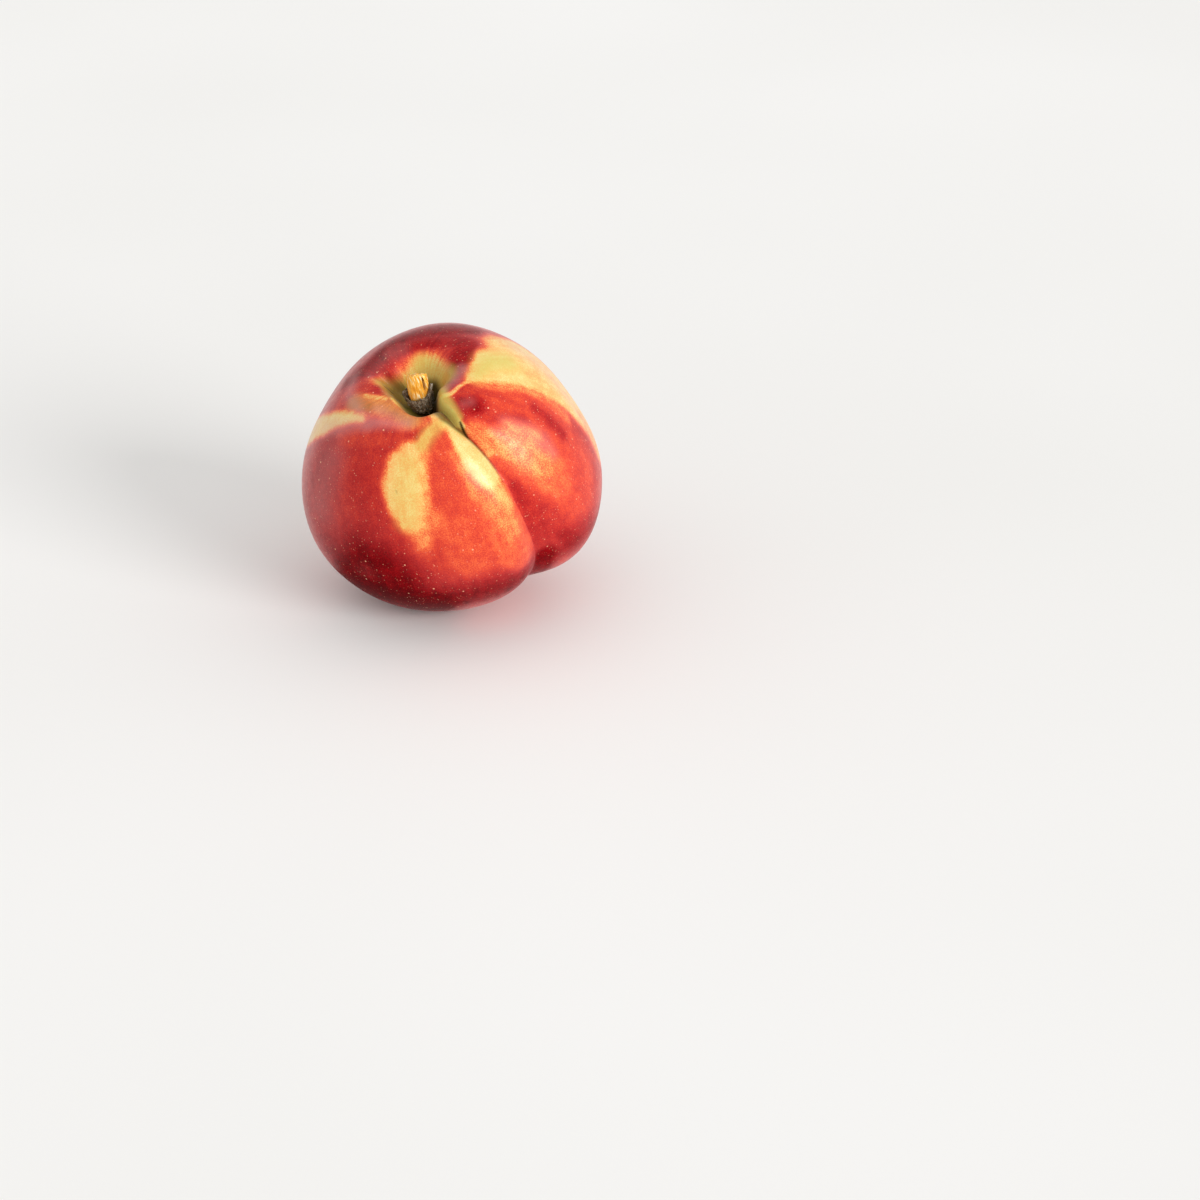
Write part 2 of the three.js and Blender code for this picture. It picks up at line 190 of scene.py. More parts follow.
# from 0, the pale yellow ground, to 1, maroon
BLUSH = [
    # sides and back: deep red, with a patch of the yellow ground low down
    (BOTH, 0.80, 12.0, [(160, 60, 14.0), (-160, 70, 14.0)]),
    (BOTH, 0.34, 12.0, [(140, 118, 9.0), (-175, 128, 10.0)]),
    (BOTH, 0.88, 8.0, [(-60, 125, 10.0), (-100, 130, 10.0)]),
    # left lobe: painted shade on the shoulder that is turned from the light, orange-red middle, maroon
    # cheek, and painted shade along the bottom where the fruit rests
    # painted shade: the shoulder that is turned from the light
    (LEFT, 0.76, 5.0, [(-106, 50, 6.0), (-103, 76, 8.0)]),
    (LEFT, 0.72, 3.0, [(-75, 46, 4.0), (-71, 62, 4.0)]),
    (LEFT, 0.54, 4.0, [(-24, 55, 5.0), (-26, 70, 6.5), (-26, 84, 7.5), (-17, 92, 6.0)]),
    (LEFT, 0.64, 3.0, [(-46, 80, 3.5), (-40, 92, 4.0)]),
    (LEFT, 0.72, 5.0, [(-46, 96, 2.0), (-32, 99, 3.5), (-22, 100, 4.0), (-12, 102, 4.0)]),
    # painted shade: darker along the bottom, where the fruit rests
    (LEFT, 0.90, 8.0, [(-58, 104, 5.5), (-45, 105, 5.5), (-26, 109, 5.5), (-8, 113, 5.0)]),
    (LEFT, 0.92, 12.0, [(-84, 90, 6.0), (-74, 79, 5.5), (-66, 83, 6.7), (-58, 91, 6.2)]),
    # maroon of the lower cheek, carried down under the fruit as painted shade
    (LEFT, 1.00, 9.0, [(-88, 106, 6.5), (-72, 102, 6.5), (-62, 106, 6.5), (-50, 112, 6.0)]),
    # right lobe: orange-red middle, deeper below, and painted shade along the bottom where the fruit
    # rests
    (RIGHT, 0.60, 4.0, [(28, 66, 8.0), (28, 82, 8.0), (26, 90, 6.0)]),
    (RIGHT, 0.46, 5.0, [(12, 48, 4.5), (16, 60, 5.0), (19, 72, 5.0), (20, 80, 3.0)]),
    (RIGHT, 0.84, 7.0, [
        (10, 105, 4.5), (20, 109, 3.5), (38, 114, 3.5), (64, 124, 3.0), (100, 134, 2.0),
    ]),
    # round the top
    (BOTH, 0.88, 4.0, [
        (-149, 31, 2.4), (-166, 23, 3.2), (160, 26, 4.0), (129, 30, 4.5), (108, 40, 4.0),
    ]),
    (LEFT, 0.62, 2.0, [(-126, 28, 3.0), (-134, 21, 2.4), (-144, 19, 1.2)]),
    (RIGHT, 0.80, 2.0, [(164, 21, 2.3), (123, 22, 2.6), (94, 29, 2.4), (75, 18, 1.6)]),
    # stem cavity
    (BOTH, 0.20, 4.0, [(118, 3, 6.0), (118, 7, 5.6)]),
    (LEFT, 0.42, 1.5, [(-160, 15.5, 1.0), (-150, 16, 1.5), (-150, 12, 1.6)]),
    # left of the cavity, with the pale field of the left shoulder
    (LEFT, 0.48, 3.0, [
        (-118, 24, 2.6), (-103, 18, 2.8), (-74, 16, 2.8), (-44, 20, 2.4), (-19, 22, 1.6),
    ]),
    (LEFT, 0.70, 2.4, [(-126, 28, 1.4), (-117, 24, 1.8), (-104, 20, 1.4)]),
    (LEFT, 0.62, 3.0, [(-99, 35, 2.0), (-60, 28, 1.4), (-44, 27, 0.8)]),
    (LEFT, 0.40, 4.0, [(-164, 92, 1.0), (-150, 74, 3.0), (-140, 62, 3.6)]),
    (LEFT, 0.07, 2.2, [
        (-152, 76, 1.2), (-143, 66, 3.4), (-136, 58, 3.6), (-123, 42, 2.6), (-109, 30, 1.7),
        (-97, 24.5, 1.1),
    ]),
    (LEFT, 0.26, 0.7, [(-122, 19, 0.6), (-102, 12, 0.6)]),
    (LEFT, 0.15, 0.6, [(-94, 10, 0.4), (-67, 11, 0.4), (-40, 15, 0.4)]),
    (LEFT, 0.15, 1.6, [(-6, 13, 1.0), (-12, 18, 1.4), (-11, 23, 1.4)]),
    # left lobe: beside the suture, then the pale fields and the red wedge between them
    (LEFT, 0.49, 4.0, [(-9, 74, 4.5), (-8, 94, 4.5)]),
    (LEFT, 0.40, 3.5, [(-8, 66, 3.6), (-7, 80, 2.6)]),
    (LEFT, 0.26, 3.4, [(-5, 56, 2.6), (-5, 65, 1.9), (-4, 72, 0.7)]),
    (LEFT, 0.27, 1.4, [(-11, 25, 1.6), (-24, 27, 1.3), (-32, 31, 1.3)]),
    (LEFT, 0.08, 2.4, [(-5, 26, 1.2), (-5, 33, 2.2), (-6, 39, 3.2), (-7, 46, 3.9), (-6, 53, 3.2)]),
    (LEFT, 0.37, 5.5, [(-34, 36, 2.2), (-38, 48, 3.0), (-44, 60, 4.6), (-45, 71, 2.2)]),
    (LEFT, 0.15, 2.6, [
        (-42, 33, 2.8), (-47, 39, 4.4), (-50, 46, 5.0), (-50, 53, 4.5), (-49, 60, 3.0),
    ]),
    (LEFT, 0.57, 2.0, [
        (-16, 27, 0.6), (-18, 31, 1.8), (-20, 35, 2.4), (-22, 40, 3.0), (-25, 46, 3.8),
        (-26, 54, 5.0),
    ]),
    (LEFT, 0.42, 3.0, [
        (-16, 38, 0.4), (-17, 48, 1.2), (-16, 55, 1.6), (-13, 61, 1.8), (-12, 68, 1.0),
    ]),
    # right lobe: the pale field along the top, and the red band under it
    (RIGHT, 0.11, 3.4, [(66, 29, 4.2), (66, 37, 5.6), (64, 46, 5.8), (62, 54, 5.6)]),
    (RIGHT, 0.16, 3.4, [(61, 56, 5.6), (59, 66, 4.6), (57, 80, 3.6)]),
    (RIGHT, 0.12, 5.0, [(82, 44, 5.0), (80, 54, 6.0), (73, 65, 6.0), (67, 76, 5.0), (61, 90, 3.5)]),
    (RIGHT, 0.24, 3.0, [(56, 84, 3.0), (53, 96, 3.0)]),
    (RIGHT, 0.10, 2.0, [(48, 24, 1.6), (53, 29, 2.6), (53, 37, 2.8), (53, 46, 2.4)]),
    (RIGHT, 0.40, 2.4, [(40, 27, 1.0), (43, 37, 1.4), (46, 46, 1.4), (47, 56, 1.6), (46, 68, 1.8)]),
    (RIGHT, 0.60, 2.6, [
        (18, 22, 2.0), (24, 29, 3.4), (31, 38, 3.0), (38, 47, 2.6), (39, 57, 3.2), (36, 68, 4.3),
    ]),
    (RIGHT, 0.74, 2.2, [(39, 52, 1.2), (38, 60, 1.6), (37, 68, 1.6)]),
    (RIGHT, 0.85, 4.0, [(17, 24, 1.6), (21, 29, 2.6)]),
    # right lobe: beside the suture
    # a paler patch where the highlight falls: painted highlight
    (RIGHT, 0.40, 3.0, [(21, 45, 1.4), (26, 57, 1.6)]),
    (RIGHT, 0.35, 3.5, [(6, 34, 1.6), (8, 43, 2.4), (12, 52, 2.8), (16, 60, 3.0), (19, 68, 2.0)]),
    (RIGHT, 0.34, 1.0, [(4, 36, 1.0), (4, 40, 1.0), (3, 47, 1.2)]),
    (RIGHT, 0.56, 1.6, [(3, 50, 1.0), (3, 60, 1.8)]),
    (RIGHT, 0.73, 3.0, [
        (2, 56, 0.1), (3, 64, 0.8), (3, 72, 2.0), (3, 80, 2.8), (3, 92, 3.6), (4, 104, 4.2),
    ]),
    (RIGHT, 0.92, 3.0, [(4, 108, 3.0), (5, 130, 3.0)]),
    # between the cavity and the right lobe
    (RIGHT, 0.82, 1.8, [(22, 15, 0.9), (41, 16, 1.5), (60, 18, 1.6), (75, 23, 2.0), (92, 28, 2.3)]),
    (RIGHT, 0.20, 0.6, [(10, 15, 0.6), (21, 18, 0.6), (35, 20, 0.5), (43, 23, 0.5)]),
    (RIGHT, 0.06, 0.8, [(5, 14, 0.9), (3, 18, 0.9), (3, 23, 1.0), (3, 28, 0.8), (3, 31, 0.6)]),
]
# how green the pale ground is
GREEN = [
    (BOTH, 0.9, 4.0, [(0, 0, 6.0), (0, 8, 4.5)]),
    (BOTH, 0.65, 3.0, [(60, 12, 3.0), (128, 12, 2.2)]),
    (LEFT, 0.5, 3.0, [(-11, 25, 1.6), (-24, 27, 1.8), (-32, 31, 1.6)]),
    (LEFT, 0.3, 4.0, [(-44, 38, 3.0), (-49, 50, 4.0), (-50, 60, 3.0)]),
    (LEFT, 0.7, 2.0, [(-150, 8, 3.0), (-152, 13, 1.8)]),
    (BOTH, 0.5, 1.2, [(0, 14, 1.6), (0, 24, 1.4), (0, 33, 0.8)]),
    (RIGHT, 0.75, 2.0, [(10, 13, 2.0), (5, 20, 1.6), (4, 27, 1.0)]),
    (LEFT, 0.3, 3.0, [(-118, 24, 2.4), (-74, 13, 2.0), (-37, 19, 2.0)]),
    (RIGHT, 0.65, 6.0, [(52, 26, 1.5), (66, 32, 3.0), (66, 40, 3.0)]),
]
# how dusty the skin is, with painted sheen over the bloom: a pale haze of reflected light round the
# limbs and over the shaded left side, and soft painted highlights beside the suture and on the left
# shoulder
BLOOM_AND_SHEEN = [
    (BOTH, 0.45, 16.0, [(-160, 50, 6.0), (170, 46, 7.0), (120, 48, 5.0)]),
    (RIGHT, 0.65, 3.0, [(26, 15, 0.8), (42, 17, 1.4), (60, 20, 1.2)]),
    # painted sheen: the pale haze round the left limb
    (LEFT, 0.6, 16.0, [(-156, 36, 3.0), (-140, 54, 9.0), (-132, 70, 10.0), (-122, 86, 8.0)]),
    # painted highlights along the pale streak of the left shoulder
    (LEFT, 0.75, 4.0, [(-152, 28, 1.5), (-130, 27, 1.5), (-112, 24, 1.5), (-86, 25, 1.0)]),
    (LEFT, 0.8, 4.0, [(-120, 42, 2.0), (-108, 34, 2.0), (-66, 20, 1.4), (-44, 20, 1.2)]),
    (LEFT, 0.5, 3.0, [(-92, 17.5, 1.2), (-80, 17, 1.4), (-60, 18, 1.2)]),
    (BOTH, 0.3, 4.0, [(-158, 20, 2.0), (175, 20, 2.0), (157, 19, 2.0)]),
    (LEFT, 0.35, 8.0, [(-100, 46, 4.0), (-98, 66, 4.0)]),
    # painted highlight beside the suture on the left lobe
    (LEFT, 0.5, 3.0, [(-12, 44, 0.6), (-12, 49, 1.4), (-12, 54, 0.8)]),
    # painted highlight on the right lobe
    (RIGHT, 0.45, 4.0, [(22, 42, 0.6), (25, 52, 2.0), (26, 60, 2.4), (26, 67, 1.2)]),
    (RIGHT, 0.3, 3.0, [(17, 25, 1.0), (22, 27, 1.0)]),
    # painted sheen: the pale haze round the right limb
    (RIGHT, 0.7, 7.0, [(82, 50, 2.0), (70, 62, 3.0), (60, 74, 2.4), (54, 88, 1.2)]),
    (RIGHT, 0.25, 8.0, [(54, 88, 2.0), (46, 98, 2.0), (38, 104, 2.0)]),
]
# how dark brown it is: painted shade on the floor of the cavity, in the crevice round the foot of the
# stem, on the wall of the crease beside the cavity and along the line of the suture; and the skin's
# own small dry nicks and the tip of the blossom end
SHADE_AND_SCAR = [
    # painted shade: the floor of the cavity, its left wall and the crevice round the foot of the stem
    (BOTH, 1.0, 3.0, [(0, 0, 3.8), (0, 4, 3.8)]),
    (LEFT, 0.6, 2.4, [(-160, 8, 2.2), (-110, 6, 2.2)]),
    (LEFT, 0.45, 2.0, [(-158, 9.5, 1.0), (-146, 8, 2.0)]),
    (LEFT, 0.12, 3.0, [(-74, 16, 1.4), (-40, 19, 1.4)]),
    (BOTH, 0.9, 2.0, [(104, 6, 1.4), (84, 6.5, 1.6), (50, 6.5, 1.4), (26, 6.5, 1.0)]),
    # painted shade: the wall of the crease beside the cavity, then along the line of the suture
    (LEFT, 0.72, 1.2, [
        (-7, 15.5, 1.3), (-5.7, 18.2, 1.4), (-4.3, 22.6, 1.3), (-2, 26, 0.9), (-1, 28.2, 0.7),
        (0, 31, 0.4),
    ]),
    (BOTH, 0.7, 0.6, [(0, 30, 0.35), (0, 38, 0.35), (0.3, 46, 0.3), (0, 54, 0.2), (-1, 62, 0.05)]),
    # the skin's own marks: small dry nicks, and the tip of the blossom end
    (RIGHT, 1.0, 0.3, [(4, 29, 0.2), (2, 32, 0.3), (0, 36, 0.2)]),
    (LEFT, 0.9, 0.3, [(-144, 12, 0.2), (-143, 10, 0.2)]),
    (LEFT, 0.8, 0.3, [(-54, 48, 0.1), (-54, 48.5, 0.1)]),
    (BOTH, 1.0, 0.5, [(0, 180, 0.6), (90, 179, 0.6)]),
]

# ---- formulas ----


def bump(distance, spread):
    """A smooth hump: 1 at no distance, and near 0 at twice the spread."""
    return np.exp(-((distance / spread) ** 2))


def eased(share):
    """A share from 0 to 1 that starts and ends gently."""
    return share * share * (3 - 2 * share)


def direction(azimuth, polar):
    """Unit vectors at an azimuth and a polar angle."""
    out = np.sin(polar)
    return np.stack([out * np.cos(azimuth), out * np.sin(azimuth), np.cos(polar)], axis=-1)


def angle_from(here, azimuth, polar):
    """Angle in degrees between directions and one direction given in degrees."""
    there = direction(math.radians(azimuth), math.radians(polar))
    return np.degrees(np.arccos(np.clip(here @ there, -1, 1)))


def turn_from(azimuth, degrees_at):
    """Turn in degrees, from -180 to 180, from an azimuth given in degrees to one in radians."""
    return np.mod(np.degrees(azimuth) - degrees_at + 180, 360) - 180


def along(table, polar):
    """Values of a table at polar angles in degrees, eased from each of its rows to the next."""
    rows = np.array(table, float)
    row = np.clip(np.searchsorted(rows[:, 0], polar) - 1, 0, len(rows) - 2)
    share = eased(np.clip((polar - rows[row, 0]) / (rows[row + 1, 0] - rows[row, 0]), 0, 1))
    return [rows[row, k] + share * (rows[row + 1, k] - rows[row, k]) for k in range(1, rows.shape[1])]


# ---- shape of the fruit ----


def body_radius(azimuth, polar):
    """Distance of the plump body from the middle, before the crease and the hollows."""
    c = np.cos(polar)
    sides = np.sin(polar) ** 2 * np.cos(2 * (azimuth - math.radians(CHEEK_AZIMUTH)))
    # none of the three terms changes the mean radius
    shape = FLATNESS * (1.5 * c * c - 0.5) + HEART * (2.5 * c**3 - 1.5 * c) + CHEEKS * sides
    here = direction(azimuth, polar)
    radius = RADIUS * (1 + shape)
    for at, down, height in SWELLINGS:
        radius += height * bump(angle_from(here, at, down), SWELL_SPREAD)
    return radius


def suture_depth(from_crease, polar, radius):
    """Depth of the suture, with the azimuth counted from its own crease line."""
    depth, left, right = along(SUTURE, np.degrees(polar))
    out = radius * np.sin(polar)
    front = 1 / (1 + np.exp(-out * np.cos(from_crease) / SUTURE_FADE))
    across = out * np.sin(from_crease)
    left_side = np.abs(across / left) ** LEFT_ROUNDNESS
    right_side = np.abs(across / right) ** RIGHT_ROUNDNESS
    return depth * front * np.exp(-np.where(across < 0, left_side, right_side))


def hollow_depth(azimuth, out):
    """Depth of the stem cavity: a wide bowl with a funnel in it, steepest on one side."""
    radius = FUNNEL_RADIUS
    for at, spread, further in FUNNEL_LIP:
        radius = radius + further * bump(turn_from(azimuth, at), spread)
    steepness = FUNNEL_STEEPNESS + STEEPER_BY * np.cos(azimuth - math.radians(STEEPEST_AZIMUTH))
    return BOWL_DEPTH * bump(out, BOWL_RADIUS) + FUNNEL_DEPTH * np.exp(-((out / radius) ** steepness))


def skin_points(from_crease, polar):
    """Points of the skin, with the azimuth counted from the line of the crease."""
    swing = sum(turn * bump(np.degrees(polar) - at, spread) for at, spread, turn in BENDS)
    azimuth = from_crease + np.radians(swing)
    body = body_radius(azimuth, polar)
    points = direction(azimuth, polar) * (body - suture_depth(from_crease, polar, body))[..., None]
    out = np.hypot(points[..., 0], points[..., 1])
    top = points[..., 2] > 0
    points[..., 2] -= np.where(top, hollow_depth(azimuth, out), 0)
    points[..., 2] += np.where(top, 0, DIMPLE_DEPTH * bump(out, DIMPLE_RADIUS))
    return points


# ---- meshes ----


def lie_down(points):
    """From the growing frame in millimetres to the part's frame in metres."""
    turn = np.array(Euler([math.radians(a) for a in (ROLL, PITCH, HEADING)], "XYZ").to_matrix())
    return (points @ turn.T + np.array(MIDDLE)) * MM


def unrolled(grid):
    """Values of a grid in the order of the vertices of its mesh."""
    middle = grid[1:-1].reshape(-1, *grid.shape[2:])
    return np.concatenate([grid[:1, 0], middle, grid[-1:, 0]])


def grid_mesh(name, points):
    """A closed mesh from rows of points, whose first and last rows are each a single point."""
    rows, columns = points.shape[:2]
    vertices = unrolled(points)
    at = 1 + np.arange((rows - 2) * columns).reshape(rows - 2, columns)
    after = np.roll(at, -1, axis=1)
    quads = np.stack([at[:-1], at[1:], after[1:], after[:-1]], axis=-1).reshape(-1, 4)
    top = np.stack([np.zeros(columns, int), at[0], after[0]], axis=-1)
    bottom = np.stack([at[-1], np.full(columns, len(vertices) - 1), after[-1]], axis=-1)
    mesh = bpy.data.meshes.new(name)
    mesh.from_pydata(vertices.tolist(), [], top.tolist() + quads.tolist() + bottom.tolist())
    mesh.shade_smooth()
    piece = bpy.data.objects.new(name, mesh)
    bpy.context.scene.collection.objects.link(piece)
    return piece


def add_values(mesh, name, values):
    """Keeps a number or a vector for each vertex, which the materials read by name."""
    kind, field = ("FLOAT", "value") if values.ndim == 1 else ("FLOAT_VECTOR", "vector")
    kept = mesh.attributes.new(name, kind, "POINT")
    kept.data.foreach_set(field, np.ravel(values).astype(np.float32))


# ---- the skin ----


def stroke_weight(here, side_of, stroke):
    """How fully one stroke covers points, given as directions from the middle of the fruit."""
    side, _, edge, path = stroke
    path = np.array(path, float)
    centres = direction(np.radians(path[:, 0]), np.radians(path[:, 1])) * RADIUS
    weight = np.zeros(len(here))
    for k in range(len(path) - 1):
        run = centres[k + 1] - centres[k]
        share = np.clip((here * RADIUS - centres[k]) @ run / (run @ run), 0, 1)
        away = np.linalg.norm(here * RADIUS - centres[k] - share[:, None] * run, axis=1)
        half_width = path[k, 2] + share * (path[k + 1, 2] - path[k, 2])
        inside = np.clip((half_width - away) / edge + 0.5, 0, 1)
        weight = np.maximum(weight, eased(inside))
    return np.where(side * side_of < 0, 0, weight)


def paint(base, strokes, here, side_of):
    """Values at points after laying strokes over an even base."""
    value = np.full(len(here), float(base))
    for stroke in strokes:
        value += (stroke[1] - value) * stroke_weight(here, side_of, stroke)
    return value


def packed(t, amount):
    """Steps from 0 to 1 that lie closer together at both ends."""
    return t - amount * np.sin(2 * np.pi * t) / (2 * np.pi)


def paint_skin(mesh, from_crease, polar):
    here = direction(from_crease, polar)
    # rounded, so that a point on the crease line belongs to both sides
    side_of = np.round(np.sin(from_crease), 6)
    add_values(mesh, "blush", paint(BASE_BLUSH, BLUSH, here, side_of))
    add_values(mesh, "green", paint(0, GREEN, here, side_of))
    add_values(mesh, "bloom_and_sheen", paint(0, BLOOM_AND_SHEEN, here, side_of))
    add_values(mesh, "shade_and_scar", paint(0, SHADE_AND_SCAR, here, side_of))
    add_values(mesh, "near_stem", bump(np.degrees(polar), STREAKY_WITHIN))


def make_skin():
    down = np.pi * packed(np.linspace(0, 1, SKIN_ROWS + 1), FINER_AT_ENDS)
    around = 2 * np.pi * packed(np.arange(SKIN_COLUMNS) / SKIN_COLUMNS, FINER_AT_CREASE)
    polar, from_crease = np.meshgrid(down, around, indexing="ij")
    grown = skin_points(from_crease, polar)
    lying = lie_down(grown)
    # the resting spot is flat
    lying[..., 2] = np.maximum(lying[..., 2], 0)
    skin = grid_mesh("nectarine_skin", lying)
    meridian = direction(from_crease, np.full_like(polar, np.pi / 2)) * RADIUS
    meridian[..., 2] = polar * STREAK_SQUEEZE * RADIUS
    add_values(skin.data, "grown", unrolled(grown))
    add_values(skin.data, "meridian", unrolled(meridian))
    paint_skin(skin.data, unrolled(from_crease), unrolled(polar))
    skin.data.materials.append(skin_material())
    return skin


# ---- the stem ----


def waves(table, azimuth, along_stem=0.0):
    """Sum of the waves of one of the tables called WAVES."""
    return sum(
        strength * np.sin(number * azimuth + turn * along_stem + start)
        for strength, number, turn, start in table
    )


def stem_grid(azimuth, rows):
    """Points in the growing frame from rows of (distances from the axis of the stem, heights)."""
    out = np.array([row[0] for row in rows])
    height = np.array([row[1] for row in rows])
    x = STEM_AT[0] + out * np.cos(azimuth)
    y = STEM_AT[1] + out * np.sin(azimuth)
    return np.stack([x, y, height], axis=-1)


def stem_piece(name, grown, material):
    piece = grid_mesh(name, lie_down(grown))
    add_values(piece.data, "grown", unrolled(grown))
    piece.data.materials.append(material)
    return piece


def sepals(azimuth, value):
    """Sum over the dried sepals of one of their values."""
    return sum(sepal[value] * bump(turn_from(azimuth, sepal[0]), sepal[3]) for sepal in SEPALS)


def bark_relief(azimuth, up):
    """How far the scales stand out from the bark, less the fissures between them."""
    ring = up * SCALE_RINGS + waves(RING_WAVES, azimuth)
    across = np.abs(np.sin(azimuth * SCALES_ROUND / 2 + np.floor(ring) * SCALE_TURN))
    scale = (LEAST_SCALE + (1 - LEAST_SCALE) * across) * np.mod(ring, 1) ** SCALE_SHARPNESS
    bent = azimuth * FISSURES_ROUND / 2 + waves(FISSURE_WAVES, azimuth, up)
    fissures = FISSURE_DEPTH * bump(np.sin(bent), FISSURE_WIDTH)
    return SCALE_RELIEF * scale - fissures + waves(GRIT_WAVES, azimuth, up)


def bark_rim(azimuth):
    """Height of the torn rim, with its sepals."""
    teeth = TEETH_HEIGHT * np.abs(np.sin(azimuth * TEETH_ROUND / 2 + TEETH_START))
    return BARK_RIM - NOTCH_DEPTH + sepals(azimuth, 1) + teeth + waves(RIM_WAVES, azimuth)


def bark_points():
    """The cup, from its inside floor over the rim and down the outside to its foot."""
    azimuth = 2 * np.pi * np.arange(BARK_COLUMNS) / BARK_COLUMNS
    rim = bark_rim(azimuth)
    lean = sepals(azimuth, 2)
    rows = [(np.zeros_like(azimuth), np.full_like(azimuth, BARK_FLOOR))]
    for up in np.linspace(0, 1, BARK_INSIDE_ROWS):
        bore = BARK_FOOT_BORE + (BARK_RIM_BORE - BARK_FOOT_BORE) * up
        inner_lean = INNER_LEAN * lean * up**SEPAL_CURL
        rows.append((bore + inner_lean, BARK_FLOOR + up * (rim - BARK_FLOOR)))
    for up in np.linspace(1, 0, BARK_OUTSIDE_ROWS):
        body = BARK_FOOT_RADIUS + (BARK_RIM_RADIUS - BARK_FOOT_RADIUS) * up
        body -= RIM_TAPER * bump(1 - up, TAPER_SPREAD)
        relief = bark_relief(azimuth, up) * min(1, RELIEF_AT_RIM + (1 - up) * RELIEF_GROWTH)
        rows.append((body + lean * up**SEPAL_CURL + relief, BARK_FOOT + up * (rim - BARK_FOOT)))
    rows.append((np.zeros_like(azimuth), np.full_like(azimuth, BARK_FOOT)))
    return stem_grid(azimuth, rows)


def make_bark():
    return stem_piece("nectarine_bark", bark_points(), bark_material())


def sliver(azimuth):
    """How fully a direction faces the torn sliver."""
    return bump(turn_from(azimuth, SLIVER_AZIMUTH), SLIVER_SPREAD)


def wood_side(azimuth, height):
    """Half-width of the peg: narrow in the cup, grooved along its fibres, bulging at the sliver."""
    rise = eased(np.clip((height - WOOD_FOOT) / (BARK_RIM - WOOD_FOOT), 0, 1))
    body = WOOD_FOOT_RADIUS + (WOOD_RADIUS - WOOD_FOOT_RADIUS) * rise
    bulge = SLIVER_OUT * sliver(azimuth) * bump(height - SLIVER_HEIGHT, SLIVER_LENGTH)
    return body + waves(FIBRE_WAVES, azimuth, height) + bulge


def torn_fibres(x, y):
    """Height of the fibres that stand up all over the break."""
    height = 0
    for strength, *crossing in TORN_FIBRES:
        for turn_x, turn_y, start in crossing:
            strength = strength * np.sin(turn_x * x + turn_y * y + start)
        height = height + strength
    return height


def splinters(azimuth, out):
    """Height of the splinters, which stand at the edge of the break."""
    first, second = [np.sin(number * azimuth + start) for number, start in SPLINTER_WAVES]
    return SPLINTER_HEIGHT * (out / WOOD_RADIUS) ** SPLINTER_RISE * first * second


def wood_top(azimuth, out):
    """Height of the slanting, splintered break."""
    slant = BREAK_SLOPE * out * np.cos(azimuth - math.radians(BREAK_AZIMUTH))
    torn = torn_fibres(out * np.cos(azimuth), out * np.sin(azimuth))
    lower = SLIVER_LOWER * sliver(azimuth) * out / WOOD_RADIUS
    return WOOD_TOP + slant + torn + splinters(azimuth, out) - lower


def gash(azimuth, height):
    """How fully a point of the peg's side lies in its torn gash."""
    across = bump(turn_from(azimuth, GASH_AZIMUTH), GASH_SPREAD)
    return across / (1 + np.exp((GASH_FOOT - height) / GASH_EASE))


def wood_points():
    """The upright peg, from the middle of its break over the edge and down to its foot."""
    azimuth = 2 * np.pi * np.arange(WOOD_COLUMNS) / WOOD_COLUMNS
    half_width = wood_side(azimuth, wood_top(azimuth, WOOD_RADIUS))
    rows = []
    for share in np.linspace(0, BREAK_REACH, WOOD_TOP_ROWS):
        rows.append((share * half_width, wood_top(azimuth, share * half_width)))
    edge = wood_top(azimuth, half_width) - EDGE_DROP
    for down in np.linspace(0, 1, WOOD_SIDE_ROWS):
        height = edge + down * (WOOD_FOOT - edge)
        rows.append((wood_side(azimuth, height) - GASH_DEPTH * gash(azimuth, height), height))
    rows.append((np.zeros_like(azimuth), np.full_like(azimuth, WOOD_FOOT)))
    return stem_grid(azimuth, rows)


def make_wood():
    upright = wood_points()
    above = np.maximum(0, upright[..., 2:] - LEAN_FOOT)
    wood = stem_piece("nectarine_wood", upright + above * np.array([*WOOD_LEAN, 0]), wood_material())
    x, y, height = np.moveaxis(unrolled(upright) - np.array([*STEM_AT, 0]), -1, 0)
    # not near the axis, where all azimuths meet
    on_side = np.hypot(x, y) > WOOD_RADIUS / 2
    add_values(wood.data, "gash", gash(np.arctan2(y, x), height) * on_side)
    return wood


# ---- building blocks of the materials ----


def srgb(*levels):
    """Linear colour with alpha from sRGB levels of 0 to 255."""
    shares = [level / 255 for level in levels]
    return (*[((s + 0.055) / 1.055) ** 2.4 if s > 0.04 else s / 12.92 for s in shares], 1)


def new_material(name):
    material = bpy.data.materials.new(name)
    material.use_nodes = True
    return material, material.node_tree, material.node_tree.nodes["Principled BSDF"]


def feed(tree, fed, inputs):
    """Sets inputs of a node to values, or links them to the sockets that are given."""
    for name, value in inputs.items():
        socket = fed.inputs[name]
        if isinstance(value, bpy.types.NodeSocket):
            tree.links.new(value, socket)
        else:
            socket.default_value = value


def node(tree, kind, inputs, **settings):
    made = tree.nodes.new("ShaderNode" + kind)
    for name, value in settings.items():
        setattr(made, name, value)
    feed(tree, made, inputs)
    return made


def kept_value(tree, name):
    """A number that the mesh keeps for each vertex."""
    return node(tree, "Attribute", {}, attribute_name=name).outputs["Fac"]


def kept_place(tree, name):
    """Coordinates in mm that the mesh keeps for each vertex."""
    return node(tree, "Attribute", {}, attribute_name=name).outputs["Vector"]


def calculate(tree, operation, first, second):
    return node(tree, "Math", {0: first, 1: second}, operation=operation).outputs[0]


def noise(tree, place, texture):
    """Noise of a texture, which is given as (scale, detail, roughness)."""
    scale, detail, roughness = texture
    inputs = {"Vector": place, "Scale": scale, "Detail": detail, "Roughness": roughness}
    return node(tree, "TexNoise", inputs).outputs["Fac"]


